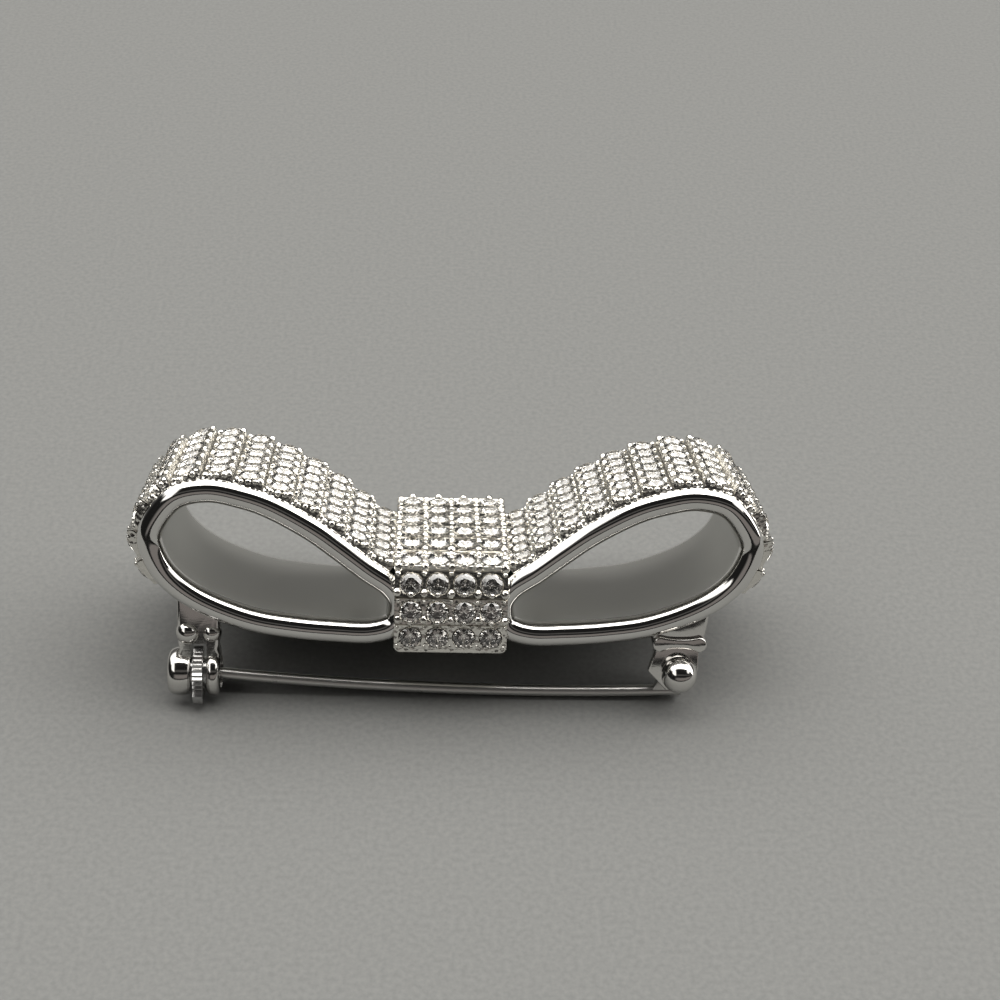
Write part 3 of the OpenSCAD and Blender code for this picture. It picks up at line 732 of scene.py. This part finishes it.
def worked(shell, *steps):
    """The shell after its steps, each a pair of how ("UNION" or "DIFFERENCE") and the tool's shell."""
    weld = 0.0005
    blank = bpy.data.objects.new("blank", welded_mesh("blank", shell, weld))
    bpy.context.scene.collection.objects.link(blank)
    tools = []
    for how, tool_shell in steps:
        tool = bpy.data.objects.new("tool", welded_mesh("tool", tool_shell, weld))
        bpy.context.scene.collection.objects.link(tool)
        tools.append(tool)
        cut = blank.modifiers.new("work", "BOOLEAN")
        cut.object, cut.operation, cut.solver = tool, how, "EXACT"
    result = bpy.data.meshes.new_from_object(blank.evaluated_get(bpy.context.evaluated_depsgraph_get()))
    points = [tuple(v.co) for v in result.vertices]
    faces = [tuple(p.vertices) for p in result.polygons]
    for obj in [blank] + tools:
        bpy.data.objects.remove(obj)
    return points, faces


def under_loop(x):
    """Height of a loop's lower middle line at the distance x from the bow's middle."""
    lower = [p for p in line[steps_round // 2:] if p.x > line_x0 + 1]
    a, b = min(zip(lower, lower[1:]), key=lambda pair: abs(pair[0].x + pair[1].x - 2 * x))
    return a.y + (b.y - a.y) * (x - a.x) / (b.x - a.x)


slot_left, slot_right = -lever_t / 2 - lever_gap, lever_t / 2 + lever_gap
barrel_left, barrel_right = -barrel_shift - barrel_l / 2, -barrel_shift + barrel_l / 2
bore_cut = drum(-cut_reach, cut_reach, sleeve_d / 2 + run_gap)
slot_cut = drum(slot_left, slot_right, tab_reach + side_gap)
mouth_cut = block(barrel_axis + Vector((-cut_reach, -mouth_w / 2, -cut_reach)),
                  barrel_axis + Vector((cut_reach, mouth_w / 2, 0)))
barrel_profile = ([(barrel_left, 0)] + lobe(barrel_left, slot_left, barrel_end_r, barrel_slot_r)
                  + lobe(slot_right, barrel_right, barrel_slot_r, barrel_end_r) + [(barrel_right, 0)])
barrel = worked(lathe(barrel_profile, barrel_axis, axis_x, axis_y),
                ("DIFFERENCE", bore_cut), ("DIFFERENCE", slot_cut), ("DIFFERENCE", mouth_cut))


def upright(a, b, t):
    """Place function of a plate that stands facing the front."""
    return a, -findings_y + t, b


neck_top = [under_loop(catch_x + neck_w / 2 * e) for e in (1, 0, -1)]
neck_left, neck_right = -catch_x - neck_w / 2, -catch_x + neck_w / 2
nick_low, nick_high = nick_z - nick_half, nick_z + nick_half
neck_outline = [
    (neck_left, -barrel_drop), (neck_right, -barrel_drop),
    (neck_right, nick_low), (neck_right - nick_in, nick_z), (neck_right, nick_high),
    (neck_right, neck_top[2]), (-catch_x, neck_top[1]), (neck_left, neck_top[0]),
    (neck_left, nick_high), (neck_left + nick_in, nick_z), (neck_left, nick_low)]
neck = worked(slab(neck_outline, upright, neck_depth, neck_bend),
              ("DIFFERENCE", bore_cut), ("DIFFERENCE", slot_cut))
bosses = []
for x, d in (((boss_d - roll_l) / 2, boss_d), ((roll_l - roll_d) / 2, roll_d)):
    boss_at = barrel_axis + Vector((x, -roll_out, roll_up))
    bosses.append(worked(bead(boss_at, d / 2, rounds=16, sectors=32), ("DIFFERENCE", slot_cut)))
findings_silver = polished_metal("findings_silver", colour=(0.72, 0.705, 0.68), dull_shade=(0.4, 0.39, 0.37),
                                 gloss=0.05, lines=0.05, haze=0.06, bump=0.4)
brooch_piece("catch_housing", join_shells(barrel, neck, *bosses), findings_silver, "bow",
             "findings_metal", "bow_frame")

# The turning sleeve inside the barrel with its thumb lever, a thin plate of the same metal with teeth
# round its rim and a plain tab at its foot. The sleeve's gap lets the stem in and out.
lever_r, lever_edge, tooth_h, teeth, rim_foot, rim_top = 1.87, 0.05, 0.1, 11, -22, 76
tab_foot, tab_top, tab_bevel, root_turn, corner_turn = -60, -27, 0.3, 20, 5
sleeve_r, sleeve_end, sleeve_edge = sleeve_d / 2, barrel_l / 2 - side_gap, 0.08


def on_round(r, a):
    """Point of the lever's outline at the radius r and the angle a in degrees."""
    return r * math.cos(math.radians(a)), r * math.sin(math.radians(a))


def lever_place(a, b, t):
    """Place function of the lever's plate, which faces along the barrel."""
    return barrel_axis + Vector((t, -a, b))


tooth_turn = (rim_top - rim_foot) / 2 / teeth
lever_outline = [(0.0, 0.0), on_round(sleeve_r, tab_foot - root_turn),
                 on_round(tab_reach - tab_bevel, tab_foot), on_round(tab_reach, tab_foot + corner_turn),
                 on_round(tab_reach, (tab_foot + tab_top) / 2), on_round(tab_reach, tab_top)]
lever_outline += [on_round(lever_r - (k % 2) * tooth_h, rim_foot + k * tooth_turn)
                  for k in range(2 * teeth + 1)]
sleeve = lathe([(-sleeve_end, 0), (-sleeve_end, sleeve_r - sleeve_edge),
                (-sleeve_end + sleeve_edge, sleeve_r), (sleeve_end - sleeve_edge, sleeve_r),
                (sleeve_end, sleeve_r - sleeve_edge), (sleeve_end, 0)],
               barrel_axis - barrel_shift * axis_x, axis_x, axis_y)
stem_way = drum(-cut_reach, cut_reach, mouth_w / 2, sectors=48)
lever = worked(slab(lever_outline, lever_place, lever_t, lever_edge, steps=2),
               ("UNION", sleeve), ("DIFFERENCE", stem_way), ("DIFFERENCE", mouth_cut))
lever_silver = polished_metal("lever_silver", colour=(0.6, 0.595, 0.59), dull_shade=(0.35, 0.34, 0.33),
                              gloss=0.16, lines=0.06, haze=0.08, bump=0.5)
brooch_piece("catch_thumb_lever", lever, lever_silver, "catch_lever", "findings_metal", "catch_lever")

# The hinge's bracket, cast and soldered under the right loop: a wedge-shaped pad, a plate with fat
# rounded ends, and two ears that carry the rivet. The back ear is longer and is the brooch's foot.
rivet_r, knuckle_r, knuckle_t = 0.4, 1.15, 1.1
ear_t, ear_reach, foot_reach, ear_foot, ear_bend = 0.6, 1.25, 1.86, 0.7, 0.08
ear_side, ear_back, ear_point, ear_root, ear_chin = 1.2, 1.3, 1.85, 0.5, 0.5
plate_w, plate_t, plate_over, plate_bend = 3.3, 1.0, 0.2, 0.12
waist_z, waist_half, waist_curve = 0.55, 0.31, 2.5
pad_lap, pad_toe, pad_heel, pad_narrow, pad_bend = 0.2, 0.15, 0.1, 0.3, 0.15
ear_inner = knuckle_t / 2 + side_gap
ear_outer = ear_inner + ear_t
plate_z = -(rivet_drop - knuckle_r - side_gap)

pad_top = [under_loop(hinge_x + plate_w / 2 * e) for e in (-1, 0, 1)]
pad_low = plate_z + plate_t - pad_lap
pad_left, pad_right = hinge_x - plate_w / 2, hinge_x + plate_w / 2
pad_outline = [(pad_left, pad_low), (pad_right - pad_toe, pad_low),
               (pad_right + pad_heel, pad_top[2] - rim_r), (pad_right, pad_top[2]),
               (hinge_x, pad_top[1]), (pad_left, pad_top[0])]
pad = slab(pad_outline, upright, 2 * ear_outer - pad_narrow, pad_bend)
plate_outline = []
plate_end, plate_r = (plate_w - plate_t) / 2, plate_t / 2
for end, turned in ((1, -90), (-1, 90)):
    for k in range(13):
        a = math.radians(turned + 15 * k)
        plate_outline.append((hinge_x + end * plate_end + plate_r * math.cos(a),
                              plate_z + plate_r + plate_r * math.sin(a)))
    for k in range(1, 12):
        across = 1 - k / 6
        fat = abs(across) ** waist_curve
        middle = waist_z + (plate_r - waist_z) * fat
        half = waist_half + (plate_r - waist_half) * fat
        plate_outline.append((hinge_x + end * plate_end * across, plate_z + middle + end * half))
plate = slab(plate_outline, upright, 2 * ear_outer + plate_over, plate_bend)
ears = []
for e, reach, point in ((-1, ear_reach, ear_point), (1, foot_reach, ear_back)):
    outline = [(-ear_back, plate_z + ear_root), (-point, -rivet_drop), (-ear_foot, -rivet_drop - reach),
               (ear_foot, -rivet_drop - reach), (ear_side, -rivet_drop - ear_chin),
               (ear_side, plate_z + ear_root)]
    middle = e * (ear_inner + ear_t / 2)
    ears.append(slab([(hinge_x + a, b) for a, b in outline],
                     lambda a, b, t: upright(a, b, middle + t), ear_t, ear_bend))
brooch_piece("hinge_bracket", join_shells(pad, plate, *ears), findings_silver, "bow", "findings_metal",
             "bow_frame")

# The hinge's rivet, turned in one piece with its ball head, put through both ears from the front and
# riveted over behind.
ball_r, ball_stand, ball_lap, ear_clear = 1.1, 0.45, 0.02, 0.03
front, back = -(ear_outer + ear_clear), ear_outer + ear_clear

# The head behind: how far it stands off the ear, and its radius as a share of the rivet's
REAR_HEAD = [(0, 1.6), (0.08, 1.7), (0.25, 1.7), (0.35, 1.5), (0.4, 1.1), (0.4, 0)]

ball_at = front - ball_stand * ball_r
rivet_profile = [(ball_at - ball_r, 0)]
for k in range(1, 25):
    a = math.pi * k / 24
    t = ball_at - ball_r * math.cos(a)
    if t < front - ball_lap:
        rivet_profile.append((t, ball_r * math.sin(a)))
rivet_profile += [(front, ball_r * math.sqrt(1 - ball_stand ** 2)), (front, rivet_r), (back, rivet_r)]
rivet_profile += [(back + t, rivet_r * share) for t, share in REAR_HEAD]
brooch_piece("hinge_ball_rivet", lathe(rivet_profile, hinge_at, axis_y, axis_z), findings_silver, "bow",
             "findings_metal", "hinge_rivet")

# The pin stem: hard drawn wire, bent in a long shallow bow and ground to a point, with a flat
# knuckle at its root that turns on the rivet.
stem_d, stem_over, stem_offset, stem_bow = 0.7, 0.3, 1.7, 0.56
tip_l, tip_r, tip_full, tip_in, tip_rise = 2.2, 0.05, 0.98, 0.25, 0.2
ring_edge, web_t, web_half, web_top, web_toe, web_in, web_bend = 0.08, 0.63, 0.8, 0.6, 1.5, 0.1, 0.1
wire_sectors, wire_steps, tip_steps = 24, 90, 12

stem_end = Vector((hinge_x + stem_over, -rivet_drop - stem_offset))
stem_tip = Vector((-catch_x + barrel_left + tip_in, -barrel_drop + tip_rise))
chord = (stem_tip - stem_end).length
bend_r = chord ** 2 / 8 / stem_bow + stem_bow / 2
half_arc = math.asin(chord / 2 / bend_r)
tip_arc = tip_l / bend_r
along = (stem_tip - stem_end).normalized()
dip = Vector((-along.y, along.x))
bend_centre = (stem_end + stem_tip) / 2 - dip * (bend_r - stem_bow)
stops = [-half_arc + (2 * half_arc - tip_arc) * k / wire_steps for k in range(wire_steps + 1)]
stops += [half_arc - tip_arc * (1 - k / tip_steps) for k in range(1, tip_steps + 1)]
wire_points, wire_faces = [], []
for a in stops:
    left, r = half_arc - a, stem_d / 2
    if left <= tip_arc:
        r = max(tip_r, tip_full * r * math.sqrt(max(left / tip_arc, 0)))
    out = Vector((dip.x * math.cos(a) + dip.y * math.sin(a), dip.y * math.cos(a) - dip.x * math.sin(a)))
    c = bend_centre + bend_r * out
    for k in range(wire_sectors):
        b = 2 * math.pi * k / wire_sectors
        q = c + r * math.cos(b) * out
        wire_points.append((q.x, -findings_y + r * math.sin(b), q.y))
last_ring = len(wire_points) - wire_sectors
for i in range(0, last_ring, wire_sectors):
    for k in range(wire_sectors):
        k2 = (k + 1) % wire_sectors
        wire_faces.append((i + k, i + wire_sectors + k, i + wire_sectors + k2, i + k2))
wire_faces += [tuple(range(wire_sectors)), tuple(range(last_ring, len(wire_points)))]
ring_half, ring_bore = knuckle_t / 2, rivet_r + run_gap
knuckle = lathe([(-ring_half, ring_bore), (-ring_half, knuckle_r - ring_edge),
                 (-ring_half + ring_edge, knuckle_r), (ring_half - ring_edge, knuckle_r),
                 (ring_half, knuckle_r - ring_edge), (ring_half, ring_bore), (-ring_half, ring_bore)],
                hinge_at, axis_y, axis_z)
web = slab([(hinge_x + web_half, -rivet_drop - web_top),
            (hinge_x + stem_over - web_in, -rivet_drop - stem_offset),
            (hinge_x - web_toe, -rivet_drop - stem_offset), (hinge_x - web_half, -rivet_drop - web_top)],
           upright, web_t, web_bend)
wire_silver = polished_metal("wire_silver", colour=(0.7, 0.69, 0.67), dull_shade=(0.4, 0.39, 0.37),
                             gloss=0.22, lines=0.08, haze=0.08, bump=0.3)
brooch_piece("pin_stem_wire", join_shells((wire_points, wire_faces), knuckle, web), wire_silver,
             "pin_stem", "findings_metal", "pin_stem")

# The table top that the brooch lies on, a plain board in matt grey paint with a fine grain. Nothing is
# fixed to it: the brooch rests by its own weight.
bpy.ops.mesh.primitive_plane_add(size=1.6, location=(0, 0.2, 0))
table_top = bpy.context.object
table_top.name = "table_top"
table_paint = bpy.data.materials.new("table_paint")
table_paint.use_nodes = True
table_tree = table_paint.node_tree
paint = table_tree.nodes["Principled BSDF"]
paint.inputs["Roughness"].default_value = 0.85
paint.inputs["Specular IOR Level"].default_value = 0.25
table_at = table_tree.nodes.new("ShaderNodeTexCoord").outputs["Object"]
grain = noise(table_tree, 3000.0, place=table_at)
shade = two_tone(table_tree, grain, 0.3, (0.142, 0.144, 0.1405), 0.7, (0.167, 0.169, 0.1645))
table_tree.links.new(shade, paint.inputs["Base Color"])
table_top.data.materials.append(table_paint)

# Soft studio light in a nearly dark room: a bright ceiling from overhead to behind the brooch, a little
# dimmer on the left, a high window on the right, a small one on the left, and a low warm wall in front
# with a faint stripe above it.
ceiling_light, window_light, wall_light, stripe_light, back_light, dark = 4.8, 1.6, 0.2, 0.08, 0.1, 0.012
cool_light, warm_light = (1.0, 0.98, 0.945), (1.0, 0.91, 0.86)
world = bpy.data.worlds.new("studio")
world.use_nodes = True
bpy.context.scene.world = world
bpy.context.scene.view_settings.view_transform = "Standard"
sky = world.node_tree
sky_at = sky.nodes.new("ShaderNodeTexCoord")
sky_split = sky.nodes.new("ShaderNodeSeparateXYZ")
sky.links.new(sky_at.outputs["Generated"], sky_split.inputs[0])
to_right, to_back, to_top = sky_split.outputs


def product(*factors):
    """All the factors multiplied."""
    out = factors[0]
    for factor in factors[1:]:
        out = maths(sky, "MULTIPLY", out, factor)
    return out


def soft_step(value, low, high):
    """0 below low, 1 above high, smooth between; the other way round if low is above high."""
    node = sky.nodes.new("ShaderNodeMapRange")
    node.interpolation_type = "SMOOTHSTEP"
    sky.links.new(value, node.inputs["Value"])
    flip = low > high
    for label, number in (("From Min", min(low, high)), ("From Max", max(low, high)),
                          ("To Min", float(flip)), ("To Max", float(not flip))):
        node.inputs[label].default_value = number
    return node.outputs["Result"]


# How far a direction is turned from the front over the top: 0.5 is overhead and 1 is level behind
over = maths(sky, "DIVIDE", maths(sky, "ARCTAN2", to_top, product(to_back, -1.0)), math.pi)
left_fade = maths(sky, "ADD", product(soft_step(to_right, 0.1, -0.6), -0.3), 1.05)
ceiling = product(soft_step(over, 0.455, 0.485), ceiling_light, soft_step(over, 0.86, 0.7),
                  soft_step(to_right, -0.86, -0.72), left_fade)
window = product(soft_step(to_right, 0.64, 0.72), soft_step(to_top, 0.45, 0.5),
                 soft_step(to_back, -0.4, -0.25))
small_window = product(soft_step(to_right, -0.42, -0.5), soft_step(to_right, -0.8, -0.72),
                       soft_step(to_top, 0.5, 0.56), soft_step(to_back, 0.1, 0.0))
windows = product(maths(sky, "MAXIMUM", window, small_window), window_light)
wall = product(soft_step(over, 0.025, 0.04), soft_step(over, 0.15, 0.12), wall_light)
stripe = product(soft_step(over, 0.2, 0.22), soft_step(over, 0.27, 0.25), stripe_light)
wall = product(maths(sky, "ADD", wall, stripe), soft_step(to_right, -0.6, -0.3))
room = maths(sky, "ADD", product(soft_step(to_back, 0.0, 0.8), back_light), dark)
light = maths(sky, "ADD", maths(sky, "ADD", maths(sky, "MAXIMUM", ceiling, windows), wall), room)
sky.links.new(light, sky.nodes["Background"].inputs["Strength"])
sky.links.new(colour_between(sky, product(wall, 1 / wall_light), cool_light, warm_light),
              sky.nodes["Background"].inputs["Color"])

# The camera, a long lens a little above the loops' own plane, aimed at the middle of the bow. It stands
# where both loops' outlines come out as they do in the photograph.
view_down, view_roll, view_yaw = (math.radians(a) for a in (17.2, 1.71, 2.33))
sensor_w, frame_px, focal_px, scale_px = 36.0, 1000, 2000.0, 16.05
off_x, off_y = 450.5 - frame_px / 2, 563.0 - frame_px / 2
bow_middle = Vector((0, 0, 3.5))
ahead = Vector((math.sin(view_yaw) * math.cos(view_down), math.cos(view_yaw) * math.cos(view_down),
                -math.sin(view_down)))
level_right = ahead.cross(axis_z).normalized()
level_up = level_right.cross(ahead)
right = math.cos(view_roll) * level_right + math.sin(view_roll) * level_up
upward = -math.sin(view_roll) * level_right + math.cos(view_roll) * level_up
to_bow = (ahead * focal_px + right * off_x - upward * off_y).normalized()
stand = bow_middle - to_bow * focal_px / scale_px
lens = bpy.data.cameras.new("camera")
lens.sensor_width, lens.lens = sensor_w, sensor_w * focal_px / frame_px
lens.clip_start, lens.clip_end = 0.005, 10.0
camera = bpy.data.objects.new("camera", lens)
bpy.context.scene.collection.objects.link(camera)
turn = (lay * 1000) @ Matrix((right, upward, -ahead)).transposed()
camera.matrix_world = Matrix.Translation(lay_down @ stand) @ turn.to_4x4()
bpy.context.scene.camera = camera
